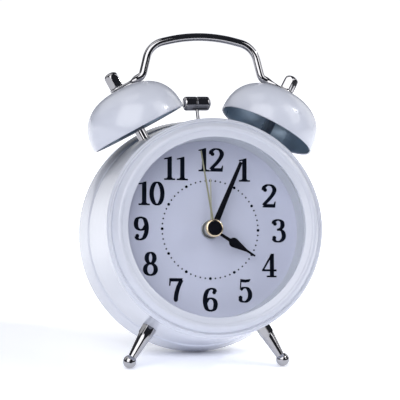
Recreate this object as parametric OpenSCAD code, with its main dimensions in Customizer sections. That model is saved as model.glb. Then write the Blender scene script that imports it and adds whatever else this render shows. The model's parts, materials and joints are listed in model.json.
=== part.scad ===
// Twin-bell quartz alarm clock: a white drum case on two chrome feet, with a bell on each shoulder,
// a carrying handle over them and a hammer between them.
// Every piece is drawn in the clock's own frame: X to the right, Y from the glass to the back, Z up,
// with the drum's axis on Y and y = 0 at the bezel's front ridge. stand() then leans the clock back
// until its two feet and the lower rear edge of its case touch the table, at z = 0.

/* [Case] */
// Radius of the round window in the bezel
window_r = 43.4; // [41:0.1:46]
// Width of the bezel's lip, from the window to its front ridge
lip_w = 4.3; // [3.6:0.1:6]
// Width of the bezel's face, from its front ridge to its second ridge
face_w = 3.7; // [3.2:0.1:6]
// Width of the rounded shoulder, from the second ridge to the skirt
shoulder_w = 1.8; // [1.5:0.1:3]
// Depth of the bezel, from its front ridge to the end of its skirt
bezel_depth = 10; // [9:0.1:12]
// Radius gained by the case between the bezel and the ring before its rear flare
taper = 2.4; // [0.5:0.1:4]
// Distance of that ring from the bezel
ring_back = 34; // [30:0.5:38]
// Radius gained at the ring
ring_step = 0.7; // [0.3:0.1:1.5]
// Radius gained by the rear flare
flare = 2.3; // [1:0.1:4]
// Length of the rear flare, from the ring to the rear edge
flare_len = 17; // [14:0.5:22]
// Radius of the rounded rear edge
rim_round = 2; // [1.5:0.1:2.4]
// Sheet thickness of the case, bezel and bells
sheet = 1; // [0.7:0.05:1.2]

/* [Front] */
// Depth of the lip in front of the glass
lip_depth = 3; // [2.4:0.1:4]
// Thickness of the glass
lens_t = 2; // [1.5:0.1:2.5]
// Depth of the well between the glass and the dial
well_depth = 13.2; // [12.8:0.1:16]
// Width of the ledge that holds the glass and the dial
seat_w = 2; // [1.6:0.1:3]
// Thickness of the dial
dial_t = 0.8; // [0.5:0.1:1.2]
// Distance between one hand and the next
hand_pitch = 2.2; // [1.4:0.1:2.3]
// Thickness of a hand
hand_t = 0.5; // [0.3:0.05:0.7]
// Length of the hour hand
hour_len = 25; // [18:0.5:28]
// Length of the minute hand
minute_len = 35.5; // [30:0.5:40]
// Length of the second hand
second_len = 38; // [30:0.5:41]
// Length of the alarm hand
alarm_len = 25; // [15:0.5:28]
// Radius of the gold disc at the hands' centre
disc_r = 4.4; // [3.5:0.1:6]
// Hour shown at rest
show_hour = 4; // [0:1:11]
// Minute shown at rest
show_minute = 4; // [0:1:59]
// Second shown at rest
show_second = 58.5; // [0:0.5:59.5]

/* [Bells and handle] */
// Distance of the middle plane of bells, handle, hammer and feet from the bezel's skirt
mid_back = 21.2; // [20.6:0.1:21.8]
// Rim radius of a bell
bell_r = 24.8; // [22:0.1:25.2]
// Height of a bell
bell_h = 21.4; // [20:0.1:26]
// Angle of a bell's place around the drum, from the top
bell_at = 32.5; // [31.5:0.1:36]
// Tilt of a bell's axis
bell_tilt = 28; // [26:0.5:32]
// Distance of a bell's rim from the drum
bell_gap = 5.7; // [5:0.1:8]
// Radius of a bell post
post_r = 2.7; // [2.4:0.1:3.2]
// Radius of the threaded studs of posts and feet
stud_r = 1.9; // [1.5:0.1:2]
// Radius of the handle's bar
bar_r = 2; // [1.6:0.1:2.2]
// Thickness of the handle's flattened ends
strip_t = 1.2; // [0.8:0.1:1.6]
// Width of the handle's flattened ends
strip_w = 7; // [6:0.1:9]
// Length of a flattened end, from the bell's axis to the bend
strip_len = 14.3; // [13:0.1:16]
// Half width of the handle at its shoulders
handle_half = 26.3; // [23:0.1:28]
// Height of the handle's shoulders over the top of the bells
handle_leg = 22.9; // [18:0.1:26]
// Rise of the handle's arch over its shoulders
handle_arch = 6.6; // [4:0.1:8]
// Width across flats of the cap nuts
cap_af = 6.6; // [6:0.1:8]
// Height of the cap nuts
cap_h = 8; // [6:0.1:10]

/* [Hammer] */
// Radius of the hammer's head
head_r = 3.5; // [2.5:0.1:4]
// Length of the hammer's head
head_len = 13.8; // [11:0.1:14.4]
// Distance of the head's axis from the drum
head_gap = 9.2; // [8:0.1:10]
// Radius of the hammer's rod
hammer_rod_r = 1.1; // [0.8:0.05:1.3]
// Angle of the swing, from one bell to the other
swing = 11.5; // [8:0.5:11.5]
// Radius of the alarm motor
motor_r = 7.5; // [6:0.1:8]
// Length of the alarm motor
motor_len = 17; // [12:0.5:18]

/* [Feet] */
// Angle of a foot from straight down
foot_at = 31.2; // [27:0.1:34]
// Length of a foot, from the drum to the middle of its ball
foot_len = 19.5; // [17:0.1:22]
// Radius of a foot's ball
ball_r = 3.3; // [3:0.05:4]
// Width across flats of a foot's hexagon
foot_af = 6.4; // [5.6:0.1:7.5]
// Length of a foot's hexagon, to the start of its cone
foot_hex = 4.5; // [4:0.1:7]
// Radius of a foot where it meets its ball
ankle_r = 2.1; // [1.5:0.05:2.4]

/* [Movement] */
// Width of the movement's plates
plate_w = 54; // [53.4:0.1:56]
// Height of the movement's plates
plate_h = 57; // [56:0.1:58]
// Thickness of the movement's front plate
plate_t = 1; // [0.8:0.05:1.3]
// Thickness of a wheel
wheel_t = 0.9; // [0.6:0.05:1]
// Distance from one wheel to the next along the arbors
layer = 1.5; // [1.4:0.05:1.6]
// Radius of the second hand's arbor
arbor_r = 0.5; // [0.4:0.02:0.55]
// Wall of each tube around it
tube_w = 0.5; // [0.4:0.02:0.55]
// Distance of the third and idler wheels from the centre
train_r = 14.5; // [14.3:0.05:15]
// Distance of the motion wheel from the centre
motion_r = 15; // [14.6:0.05:15.2]
// Distance of the alarm setting stem from the centre
alarm_set_r = 18; // [17.4:0.05:19]
// Distance of the rotor from the idler wheel
rotor_d = 10.5; // [10.2:0.05:10.8]
// Radius of the setting stems
stem_r = 1.2; // [1:0.05:1.4]

/* [Back] */
// Thickness of the rear cover
cover_t = 2; // [1.6:0.1:2.4]
// Depth of the rear cover behind the rear edge
cover_sink = 2; // [1.5:0.1:2.5]
// Radius of the time setting knob
time_knob_r = 6; // [4:0.1:7]
// Radius of the alarm setting knob
alarm_knob_r = 5; // [4:0.1:7]
// Length of the setting knobs
knob_len = 6; // [4:0.1:9]
// Radius of the battery cell
cell_r = 7.1; // [5:0.05:7.2]
// Length of the battery cell
cell_len = 49.2; // [44:0.1:50]
// Height of the cell's axis under the drum's axis
cell_drop = 34; // [32:0.1:35]
// Travel of the alarm switch
switch_travel = 4; // [3:0.1:5]

/* [Fits] */
// Clearance between pieces that seat on each other
seat = 0.05; // [0.02:0.01:0.1]
// Radial clearance of a running shaft
run = 0.05; // [0.03:0.01:0.08]
// Clearance between pieces that move past each other
clear = 0.3; // [0.25:0.05:0.4]

/* [Hidden] */
$fn = 72;
WHITE = [0.9, 0.91, 0.95];
CHROME = [0.75, 0.75, 0.77];
STEEL = [0.6, 0.62, 0.66];
BRASS = [0.8, 0.66, 0.36];
BLACK = [0.07, 0.07, 0.09];
GREY = [0.45, 0.47, 0.5];

// Case radii, from the window outwards
ridge_r = window_r + lip_w;
shoulder_r = ridge_r + face_w;
skirt_r = shoulder_r + shoulder_w;
ring_r = skirt_r + taper;
rim_r = ring_r + ring_step + flare;
ridge_round = 1.6;
shoulder_y = 3.8;
skirt_y = 6.8;

// Case stations, from the ridge backwards
ring_y = bezel_depth + ring_back;
ring_len = 1.2;
rim_y = ring_y + flare_len;
mid_y = bezel_depth + mid_back;
cover_y1 = rim_y - cover_sink;
cover_y0 = cover_y1 - cover_t;
cover_r = rim_r - rim_round - 1.6;

// Glass, well and dial
lens_y0 = lip_depth + seat;
lens_y1 = lens_y0 + lens_t;
lens_r = window_r + seat_w;
well_y0 = lens_y1 + seat;
dial_y0 = well_y0 + well_depth;
dial_y1 = dial_y0 + dial_t;
collar_r = lens_r + seat + sheet;
ledge_r = window_r - 0.4;
ledge_y0 = dial_y1 + seat;
ledge_y1 = ledge_y0 + sheet;
neck_r = skirt_r - sheet - seat;

// Outer radius of the drum behind the bezel, before its rear flare
function drum_r(y) = skirt_r + taper * (y - bezel_depth) / ring_back;
mid_r = drum_r(mid_y);

// Movement stations: front plate, layers of wheels, back plate
front_y0 = dial_y1 + seat;
front_y1 = front_y0 + plate_t;
function layer_y(i) = front_y1 + 0.5 + layer * i;
rotor_y0 = layer_y(7);
rotor_len = 2.5;
magnet_r = 3;
back_y0 = rotor_y0 + rotor_len + 0.5;
back_t = 1.2;
back_y1 = back_y0 + back_t;
arbor_y0 = front_y0 + 0.3;
arbor_y1 = back_y1 - 0.3;
pivot_r = 0.6;
plate_screw_r = 1;
bracket_screw_r = 0.9;

// Nested tubes of the hands: arbor, minute, hour, alarm, threaded bush
minute_in = arbor_r + run;
minute_out = minute_in + tube_w;
hour_in = minute_out + run;
hour_out = hour_in + tube_w;
alarm_in = hour_out + run;
alarm_out = alarm_in + tube_w;
bush_in = alarm_out + run;
bush_out = bush_in + 1.2;
nut_t = 1.4;
nut_r = 4.8;
bush_y0 = dial_y0 - nut_t - 0.2;
boss_len = 1.2;
hub_r = 2.6;
function hand_y(i) = bush_y0 - clear - hand_t - hand_pitch * i;
alarm_deg = 0;
minute_deg = 6 * show_minute;
hour_deg = 30 * show_hour + show_minute / 2;
second_deg = 6 * show_second;
leaf_r = 2.4;
leaf_root = 250;
leaf_side = 160;
leaf_at = hour_len * 0.5;
neck_at = hour_len * 0.8;
stalk_half = 0.6;
tip_half = 0.4;
minute_half = 1.6;
alarm_half = 0.45;
alarm_tip = 0.3;
second_half = 0.5;
second_tip = 0.3;
second_tail = 3;
disc_t = 1.6;
disc_rim = 1.05;
button_r = disc_r - disc_rim;
button_t = 0.8;

// Wheel centres, as seen from the front, and tooth counts
third_dir = 120;
idler_dir = 30;
CENTRE = [0, 0];
THIRD = train_r * [cos(third_dir), sin(third_dir)];
IDLER = train_r * [cos(idler_dir), sin(idler_dir)];
ROTOR = IDLER + [rotor_d, 0];
MOTION = [0, -motion_r];
ALARM_SET = [-alarm_set_r, 0];
centre_z = 80;
third_z = 75;
second_z = 50;
idler_z = 60;
pinion_z = 10;
cannon_z = 12;
motion_z = 36;
hour_z = 40;
alarm_z = 48;
set_z = 24;
function module_of(distance, za, zb) = 2 * distance / (za + zb);
centre_m = module_of(train_r, centre_z, pinion_z);
third_m = module_of(train_r, third_z, pinion_z);
second_m = module_of(train_r, second_z, pinion_z);
idler_m = module_of(rotor_d, idler_z, pinion_z);
cannon_m = module_of(motion_r, motion_z, cannon_z);
hour_m = module_of(motion_r, hour_z, pinion_z);
alarm_m = module_of(alarm_set_r, alarm_z, set_z);

// Turn of wheel B so that its teeth meet those of wheel A, which stands at turn_a, in direction dir
function mesh_turn(dir, turn_a, za, zb) = dir + 180 - (0.5 - (dir - turn_a) * za / 360) * 360 / zb;
third_turn = mesh_turn(third_dir, 0, pinion_z, third_z);
centre_turn = mesh_turn(third_dir + 180, third_turn, pinion_z, centre_z);
idler_turn = mesh_turn(idler_dir, 0, second_z, pinion_z);
rotor_turn = mesh_turn(0, idler_turn, idler_z, pinion_z);
motion_turn = mesh_turn(-90, centre_turn, cannon_z, motion_z);
hour_turn = mesh_turn(90, motion_turn, pinion_z, hour_z);
set_turn = mesh_turn(180, 0, alarm_z, set_z);

// Hammer, its bracket and its drive
pivot_z = plate_h / 2 + 3.5;
pivot_pin_r = 1;
tilt = swing / 2;
head_reach = mid_r + head_gap - pivot_z;
arm_t = 1.6;
arm_w = 5;
arm_slot = 1.8;
drive_reach = 9;
hammer_hub_r = 2.2;
rod_foot = 17;
rod_socket = 3;
bracket_t = 1.2;
bracket_left = 8;
bracket_lap = 9;
bracket_size = [25, 28];
bracket_y0 = back_y1 + seat;
bracket_y1 = bracket_y0 + bracket_t;
axle_r = 0.8;
crank_pin_r = 0.5;
crank_z = 30;
crank_m = 0.4;
crank_at = [0, pivot_z + drive_reach];
throw = drive_reach * tan(tilt);
motor_at = crank_at + [crank_m * (crank_z + pinion_z) / 2, 0];
motor_turn = mesh_turn(0, 180, crank_z, pinion_z);
crank_y1 = bracket_y0 - clear;
crank_y0 = crank_y1 - 1.2;
motor_y0 = bracket_y1 + seat;
shaft_r = 0.75;

// Battery compartment in the rear cover
tray_wall = 1;
contact_t = 0.4;
contact_room = 1.9;
tray_x = cell_len / 2 + contact_t + contact_room;
tray_z = cell_r + 0.7;
tray_y0 = cover_y0 - 2 * cell_r - 0.8;
cell_y = tray_y0 + tray_wall + cell_r + 0.2;
nib_r = 2.7;
nib_h = 1.2;
contact_half = 5;
door_rim = 0.8;
door_t = cover_t / 2 + 0.2;
pillar_at = [35, 145, 270];
pillar_ring = ledge_r + 4.5;
pillar_r = 2.5;
cover_screw_r = 1.2;
cover_screw_len = 10;
cover_bore = 12;
cover_head = 1.4;
SWITCH = [20, 0];
switch_w = 4;
switch_h = 5;

// Bells, posts and handle
bell_place = [sin(bell_at), 0, cos(bell_at)] * (mid_r + bell_gap) + [0, mid_y, 0];
bell_round = 2.45;
bell_axis = [sin(bell_tilt), cos(bell_tilt)];
bell_across = [-cos(bell_tilt), sin(bell_tilt)];
bell_top = [bell_place[0], bell_place[2]] + bell_axis * bell_h;
strip_mid = bell_top + bell_axis * (seat + strip_t / 2);
handle_bend = strip_mid + bell_across * strip_len;
handle_corner = [handle_half, bell_top[1] + handle_leg];
handle_crown = [0, handle_corner[1] + handle_arch];
bend_r = 4;
shoulder_bend_r = 11;
crown_bend_r = 70;
strip_tail = cap_af / 2 + 0.5;
cap_bore_depth = 4;
stud_hole = stud_r + 0.1;
nut_af = 6;
nut_h = 2.4;
post_base = bell_gap + 6 * sheet + nut_h;
post_foot = 2 * bell_gap;

// Feet, lean and place on the table
foot_flat = 0.15;
foot_corner = foot_af * 0.57;
foot_shank = foot_af * 0.515;
foot_chamfer = 0.4;
foot_twist = [0, 28];
foot_stud = sheet + nut_h + 2.2;
ball_far = mid_r + foot_len;
foot_y = mid_y;
ball_z = -ball_far * cos(foot_at);
rim_mid_y = rim_y - rim_round;
rim_mid_r = rim_r - rim_round;
lean_run = rim_mid_y - foot_y;
lean_drop = -ball_z - rim_mid_r;
lean = atan2(lean_drop, lean_run) + asin((ball_r - foot_flat - rim_round) / norm([lean_run, lean_drop]));
rest_z = rim_mid_y * sin(lean) + rim_mid_r * cos(lean) + rim_round;
front_reach = ridge_round * (1 - cos(lean)) + ridge_r * sin(lean);
rear_reach = rim_mid_y * cos(lean) + rim_mid_r * sin(lean) + rim_round;
rest_y = (front_reach - rear_reach) / 2;

echo(lean = lean, rest_y = rest_y, rest_z = rest_z, mid_r = mid_r, mid_y = mid_y);

// Leans a piece back and sets it on the table
module stand() translate([0, rest_y, rest_z]) rotate([-lean, 0, 0]) children();

// Turns a profile of (radius, y) about the drum's axis
module turned() rotate([-90, 0, 0]) rotate_extrude() children();

// Round bar along Y, at (x, z)
module bar(r, y0, y1, at = CENTRE) translate([at[0], y0, at[1]])
    rotate([-90, 0, 0]) cylinder(r = r, h = y1 - y0);

// Plate along Y from a drawing of (x, z) as seen from the front
module plate(y0, y1) translate([0, y1, 0]) rotate([90, 0, 0]) linear_extrude(y1 - y0) children();

// Hexagon of a width across flats, and a hexagonal bar along Z
module hexagon(af) circle(d = af / cos(30), $fn = 6);
module hex_bar(af, h) linear_extrude(h) hexagon(af);

// Block between two corners
module block(low, high) translate(low) cube(high - low);

function arc(mid, r, from, to, steps) = [
    for (i = [0:steps])
        let (a = from + (to - from) * i / steps)
        mid + r * [cos(a), sin(a)]
];

// Case and front

module front_bezel() color(WHITE) turned() polygon(concat(
    [[window_r, lip_depth], [window_r, 1.8], [window_r + 1.2, 1.3]],
    arc([ridge_r, ridge_round], ridge_round, 215, 305, 6),
    arc([shoulder_r, shoulder_y + 1.2], 1.2, 235, 290, 4),
    arc([skirt_r - 2, skirt_y], 2, 300, 360, 4),
    [[skirt_r, bezel_depth], [skirt_r - sheet, bezel_depth], [skirt_r - sheet, skirt_y]],
    [[shoulder_r - 0.6, shoulder_y + 1.6], [collar_r, lip_depth + 0.4], [collar_r, dial_y1 - 0.3]],
    [[lens_r + seat, dial_y1 - 0.3], [lens_r + seat, lip_depth]]
));

module lens() color([0.8, 0.9, 1, 0.3]) bar(lens_r, lens_y0, lens_y1);

module well_ring() color(WHITE) difference() {
    bar(lens_r, well_y0, dial_y0 - seat);
    bar(window_r + 0.2, well_y0 - 1, dial_y0 + 1);
}

module dial_plate() color(WHITE) difference() {
    bar(lens_r, dial_y0, dial_y1);
    bar(bush_out + seat, dial_y0 - 1, dial_y1 + 1);
}

module dial_nut() color(STEEL) difference() {
    bar(nut_r, dial_y0 - seat - nut_t, dial_y0 - seat);
    bar(bush_out + seat, dial_y0 - nut_t - 1, dial_y0 + 1);
}

// Outside of the drum behind the bezel, as points of (radius, y)
drum_outline = concat(
    [[skirt_r, bezel_depth + seat], [ring_r, ring_y], [ring_r + ring_step, ring_y + ring_len]],
    arc([rim_mid_r, rim_mid_y], rim_round, 0, 90, 6)
);

// Room that the drum takes, for the pieces that stand on it
module drum() turned() polygon(concat(
    [[0, bezel_depth + seat]],
    [for (p = drum_outline) p + [seat, 0]],
    [[0, rim_y]]
));

module body_shell() color(WHITE) difference() {
    turned() polygon(concat(
        [[neck_r, skirt_y + 0.6], [neck_r, bezel_depth + seat]],
        drum_outline,
        [[cover_r + 0.2, rim_y], [cover_r + 0.2, rim_y - 2.2], [rim_r - sheet, rim_y - 3]],
        [[ring_r + ring_step - sheet, ring_y + ring_len + 0.4], [ring_r - sheet, ring_y + 0.4]],
        [[drum_r(ledge_y1) - sheet, ledge_y1], [ledge_r, ledge_y1], [ledge_r, ledge_y0]],
        [[neck_r - sheet, ledge_y0], [neck_r - sheet, skirt_y + 0.6]]
    ));
    for (side = [-1, 1]) {
        at_bell(side) translate([0, 0, -bell_gap * 4]) cylinder(r = stud_hole, h = bell_gap * 4);
        at_foot(side) translate([0, 0, ledge_r]) cylinder(r = stud_hole, h = foot_len);
    }
    translate([0, mid_y, 0]) hammer_slot();
}

// Slot in the top of the drum that the hammer's rod swings in
module hammer_slot() {
    slot_w = 2 * hammer_rod_r + 1.2;
    slot_x = (ring_r - pivot_z) * tan(tilt) + hammer_rod_r + 0.8;
    block([-slot_x, -slot_w / 2, pivot_z + 10], [slot_x, slot_w / 2, ring_r + 5]);
}

module cover_pillars() color(STEEL) for (a = pillar_at) difference() {
    bar(pillar_r, ledge_y1 + seat, cover_y0 - seat, pillar_ring * [cos(a), sin(a)]);
    bar(cover_screw_r + seat, cover_y0 - cover_bore, cover_y0 + 1, pillar_ring * [cos(a), sin(a)]);
}

// Rectangle about the battery's axis, as seen from the front
module cell_frame(grow) translate([-tray_x - grow, -cell_drop - tray_z - grow])
    square([2 * (tray_x + grow), 2 * (tray_z + grow)]);

module rear_cover() color(WHITE) difference() {
    union() {
        bar(cover_r, cover_y0, cover_y1);
        plate(tray_y0, cover_y0 + 1) cell_frame(tray_wall);
    }
    plate(tray_y0 + tray_wall, cover_y1 + 1) cell_frame(0);
    plate(cover_y1 - door_t, cover_y1 + 1) cell_frame(door_rim);
    bar(stem_r + clear, cover_y0 - 1, cover_y1 + 1, MOTION);
    bar(stem_r + clear, cover_y0 - 1, cover_y1 + 1, ALARM_SET);
    plate(cover_y0 - 1, cover_y1 + 1) switch_frame(switch_travel / 2 + clear, clear, switch_travel / 2);
    for (a = pillar_at)
        bar(cover_screw_r + 0.3, cover_y0 - 1, cover_y1 + 1, pillar_ring * [cos(a), sin(a)]);
}

module cover_screws() color(STEEL) for (a = pillar_at) translate([0, cover_y1 + seat, 0]) {
    bar(2 * cover_screw_r, 0, cover_head, pillar_ring * [cos(a), sin(a)]);
    bar(cover_screw_r, -cover_screw_len, cover_head / 2, pillar_ring * [cos(a), sin(a)]);
}

module battery_door() color(WHITE) difference() {
    plate(cover_y1 - door_t + seat, cover_y1) cell_frame(door_rim - clear);
    for (i = [-3:3])
        block([i * 3 - 0.5, cover_y1 - 0.5, -cell_drop - 4], [i * 3 + 0.5, cover_y1 + 1, -cell_drop + 4]);
}

module battery_cell() color(GREY) translate([0, cell_y, -cell_drop]) rotate([0, 90, 0]) {
    translate([0, 0, -cell_len / 2]) cylinder(r = cell_r, h = cell_len);
    cylinder(r = nib_r, h = cell_len / 2 + nib_h);
}

module battery_contact_plus() color(BRASS) translate([tray_x - seat, cell_y, -cell_drop])
    block([-contact_t, -contact_half, -contact_half], [0, contact_half, contact_half]);

module battery_contact_minus() color(BRASS) translate([-tray_x + seat, cell_y, -cell_drop]) {
    block([0, -contact_half, -contact_half], [contact_t, contact_half, contact_half]);
    rotate([0, 90, 0]) cylinder(r1 = 4.5, r2 = 2, h = contact_t + contact_room - 2 * seat);
}

// Rectangle of the switch's lever, grown by gx and gz and pushed along its travel
module switch_frame(gx, gz, push) translate(SWITCH + [push - switch_w / 2 - gx, -switch_h / 2 - gz])
    square([switch_w + 2 * gx, switch_h + 2 * gz]);

module alarm_switch() color(BLACK) {
    plate(cover_y0 - 1, cover_y1 + 1.6) switch_frame(0, 0, 0);
    plate(cover_y0 - 1.5, cover_y0 - seat) switch_frame(switch_travel + 2, 2, 0);
}

// Bells, posts and handle

// Frame of a bell: z along its axis from the middle of its rim
module at_bell(side) translate([side * bell_place[0], mid_y, bell_place[2]])
    rotate([0, side * bell_tilt, 0]) children();

// Dome of a bell as points of (radius, height): a superellipse, flatter on top than a circle
function dome(r, h, steps) = [
    for (i = [0:steps])
        let (a = 90 * i / steps)
        [r * pow(cos(a), 2 / bell_round), h * pow(sin(a), 2 / bell_round)]
];

module bell(side) color(WHITE) at_bell(side) difference() {
    rotate_extrude() polygon(concat([[0, 0]], dome(bell_r, bell_h, 14)));
    translate([0, 0, -seat]) rotate_extrude()
        polygon(concat([[0, 0]], dome(bell_r - sheet, bell_h - sheet + seat, 14)));
    cylinder(r = stud_hole, h = bell_h + 1);
}
module bell_left() bell(-1);
module bell_right() bell(1);

module bell_post(side) color(CHROME) {
    difference() {
        at_bell(side) translate([0, 0, -post_foot])
            cylinder(r = post_r, h = post_foot + bell_h - sheet - 3 * seat);
        drum();
    }
    at_bell(side) translate([0, 0, -post_base])
        cylinder(r = stud_r, h = post_base + bell_h + strip_t + cap_bore_depth);
}
module bell_post_left() bell_post(-1);
module bell_post_right() bell_post(1);

// Hexagon nut with its bore, its top face at z = 0
module stud_nut() translate([0, 0, -nut_h]) difference() {
    hex_bar(nut_af, nut_h);
    translate([0, 0, -1]) cylinder(r = stud_r + seat, h = nut_h + 2);
}

module post_nuts() color(STEEL) for (side = [-1, 1])
    at_bell(side) translate([0, 0, -bell_gap - sheet - 0.9]) stud_nut();

// Handle: one bar of round section, bent in its own plane and hammered flat at both ends
function unit(v) = v / norm(v);
function heading(v) = atan2(v[1], v[0]);
function wrapped(a) = a > 180 ? a - 360 : (a < -180 ? a + 360 : a);
function turn_at(path, i) = wrapped(heading(path[i + 1] - path[i]) - heading(path[i] - path[i - 1]));

// Stations along the bar: [place, heading, half width, half thickness]
function strip_station(s, w, t) = [strip_mid + bell_across * s, heading(bell_across), w, t];
function bend_stations(path, i, r, steps) =
    let (
        turn = turn_at(path, i),
        dir = unit(path[i] - path[i - 1]),
        start = path[i] - dir * r * tan(abs(turn) / 2),
        left = sign(turn) * [-dir[1], dir[0]]
    )
    [
        for (k = [0:steps])
            let (a = turn * k / steps, h = heading(dir) + a, side = sign(turn) * [-sin(h), cos(h)])
            [start + r * (left - side), h, bar_r, bar_r]
    ];
function mirrored(v) = [-v[0], v[1]];
function other_half(stations) = [
    for (i = [len(stations) - 1:-1:0])
        let (p = stations[i])
        [mirrored(p[0]), -p[1], p[2], p[3]]
];

strip_half = strip_w / 2;
tail_mid = strip_half - strip_tail;
handle_path = [strip_mid, handle_bend, handle_corner, handle_crown, mirrored(handle_corner)];
handle_right = concat(
    [
        for (a = [20, 45, 70, 90])
            strip_station(tail_mid - strip_half * cos(a), strip_half * sin(a), strip_t / 2)
    ],
    [strip_station(strip_len * 0.45, strip_half, strip_t / 2)],
    [strip_station(strip_len * 0.6, (strip_half + bar_r) / 2, (strip_t / 2 + bar_r) / 2)],
    bend_stations(handle_path, 1, bend_r, 5),
    bend_stations(handle_path, 2, shoulder_bend_r, 6),
    bend_stations(handle_path, 3, crown_bend_r, 6)
);
handle_stations = concat(
    [for (i = [0:len(handle_right) - 5]) handle_right[i]],
    other_half([for (i = [0:len(handle_right) - 4]) handle_right[i]])
);

bar_sides = 16;
function ring_points(p) = [
    for (k = [0:bar_sides - 1])
        let (a = 360 * k / bar_sides, v = max(-p[3], min(p[3], p[2] * sin(a))))
        [p[0][0] - sin(p[1]) * v, mid_y + p[2] * cos(a), p[0][1] + cos(p[1]) * v]
];

module swept_bar(stations) {
    last = (len(stations) - 1) * bar_sides;
    polyhedron(
        points = [for (p = stations, q = ring_points(p)) q],
        faces = concat(
            [[for (k = [0:bar_sides - 1]) k]],
            [[for (k = [bar_sides - 1:-1:0]) last + k]],
            [
                for (i = [0:len(stations) - 2], k = [0:bar_sides - 1], half = [0, 1])
                    let (a = i * bar_sides + k, b = i * bar_sides + (k + 1) % bar_sides)
                    half == 0 ? [a, a + bar_sides, b + bar_sides] : [a, b + bar_sides, b]
            ]
        )
    );
}

module handle() color(CHROME) difference() {
    swept_bar(handle_stations);
    for (side = [-1, 1])
        at_bell(side) translate([0, 0, bell_h - 1]) cylinder(r = stud_hole, h = strip_t + 3);
}

cap_corner = cap_af * 0.57;
cap_twist = [12, 30];
cap_dome = cap_h * 0.45;
module cap_nut(side) color(CHROME)
    at_bell(side) translate([0, 0, bell_h + strip_t + 2 * seat]) difference() {
        intersection() {
            rotate([0, 0, cap_twist[(side + 1) / 2]]) hex_bar(cap_af, cap_h);
            rotate_extrude() polygon(concat(
                [[0, 0], [cap_corner - 0.1, 0], [cap_corner, 0.4]],
                [for (p = dome(cap_corner, cap_dome, 8)) [p[0], cap_h - cap_dome + p[1]]]
            ));
        }
        translate([0, 0, -1]) cylinder(r = stud_r + seat, h = cap_bore_depth + 1.2);
    }
module cap_nut_left() cap_nut(-1);
module cap_nut_right() cap_nut(1);

// Feet

// Frame of a foot: z along its axis, from the drum's axis outwards
module at_foot(side) translate([0, foot_y, 0]) rotate([0, side * (180 - foot_at), 0]) children();

module foot(side) color(CHROME) difference() {
    union() {
        difference() {
            at_foot(side) intersection() {
                rotate([0, 0, foot_twist[(side + 1) / 2]]) hex_bar(foot_af, ball_far);
                rotate_extrude() polygon([
                    [0, mid_r - foot_af], [foot_corner, mid_r - foot_af], [foot_corner, mid_r + foot_hex],
                    [foot_shank, mid_r + foot_hex + foot_chamfer], [ankle_r, ball_far - 1], [0, ball_far - 1]
                ]);
            }
            drum();
        }
        at_foot(side) translate([0, 0, mid_r - foot_stud]) cylinder(r = stud_r, h = foot_stud + 2);
        at_foot(side) translate([0, 0, ball_far]) sphere(r = ball_r);
    }
    at_foot(side) translate([0, 0, ball_far]) rotate([0, side * (foot_at - 180), 0]) rotate([lean, 0, 0])
        block([-ball_r, -ball_r, -ball_r - 1], [ball_r, ball_r, foot_flat - ball_r]);
}
module foot_left() foot(-1);
module foot_right() foot(1);

module foot_nuts() color(STEEL) for (side = [-1, 1])
    at_foot(side) translate([0, 0, mid_r - sheet - 0.7]) stud_nut();

// Teeth and wheels

pressure = 20;
play = 0.12;
wheel_add = 0.6;
wheel_ded = 1.15;
pinion_add = 0.85;
pinion_ded = 0.9;
function involute(a) = tan(a) * 180 / PI - a;
function half_tooth(z, r, rp) = 90 / z * (1 - play) + involute(pressure)
    - (r > rp * cos(pressure) ? involute(acos(rp * cos(pressure) / r)) : 0);
function gear_outline(z, radii, rp) = [
    for (i = [0:z - 1], s = [-1, 1], k = [0:len(radii) - 1])
        let (r = radii[s < 0 ? k : len(radii) - 1 - k], a = 360 * i / z + s * half_tooth(z, r, rp))
        r * [cos(a), sin(a)]
];

// Large wheel and small pinion of a module, from y0, turned so that they mesh
module wheel(z, m, y0, turn, at = CENTRE) {
    rp = m * z / 2;
    plate(y0, y0 + wheel_t) translate(at) rotate(turn)
        polygon(gear_outline(z, [rp - wheel_ded * m, rp + wheel_add * m], rp));
}
module pinion(z, m, y0, turn, at = CENTRE, t = wheel_t) {
    rp = m * z / 2;
    plate(y0, y0 + t) translate(at) rotate(turn)
        polygon(gear_outline(z, [rp - pinion_ded * m, rp, rp + pinion_add * m], rp));
}

module second_wheel() color(BRASS) {
    bar(arbor_r, hand_y(3) - boss_len, arbor_y1);
    pinion(pinion_z, third_m, layer_y(4), 0);
    wheel(second_z, second_m, layer_y(5), 0);
}

module third_wheel() color(BRASS) {
    bar(pivot_r, arbor_y0, arbor_y1, THIRD);
    pinion(pinion_z, centre_m, layer_y(3), third_turn, THIRD);
    wheel(third_z, third_m, layer_y(4), third_turn, THIRD);
}

module idler_wheel() color(WHITE) {
    bar(pivot_r, arbor_y0, arbor_y1, IDLER);
    pinion(pinion_z, second_m, layer_y(5), idler_turn, IDLER);
    wheel(idler_z, idler_m, layer_y(6), idler_turn, IDLER);
}

module rotor() color(GREY) {
    bar(pivot_r, arbor_y0, arbor_y1, ROTOR);
    pinion(pinion_z, idler_m, layer_y(6), rotor_turn, ROTOR, layer + 0.2);
    bar(magnet_r, rotor_y0, rotor_y0 + rotor_len, ROTOR);
}

module centre_wheel() color(BRASS) difference() {
    union() {
        bar(minute_out, hand_y(2) - boss_len, layer_y(3) + wheel_t);
        pinion(cannon_z, cannon_m, layer_y(2), centre_turn);
        wheel(centre_z, centre_m, layer_y(3), centre_turn);
    }
    bar(minute_in, hand_y(3), layer_y(4));
}

module motion_wheel() color(BRASS) {
    bar(stem_r, arbor_y0, cover_y1 + clear + knob_len / 2, MOTION);
    pinion(pinion_z, hour_m, layer_y(1), motion_turn, MOTION);
    wheel(motion_z, cannon_m, layer_y(2), motion_turn, MOTION);
}

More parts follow.
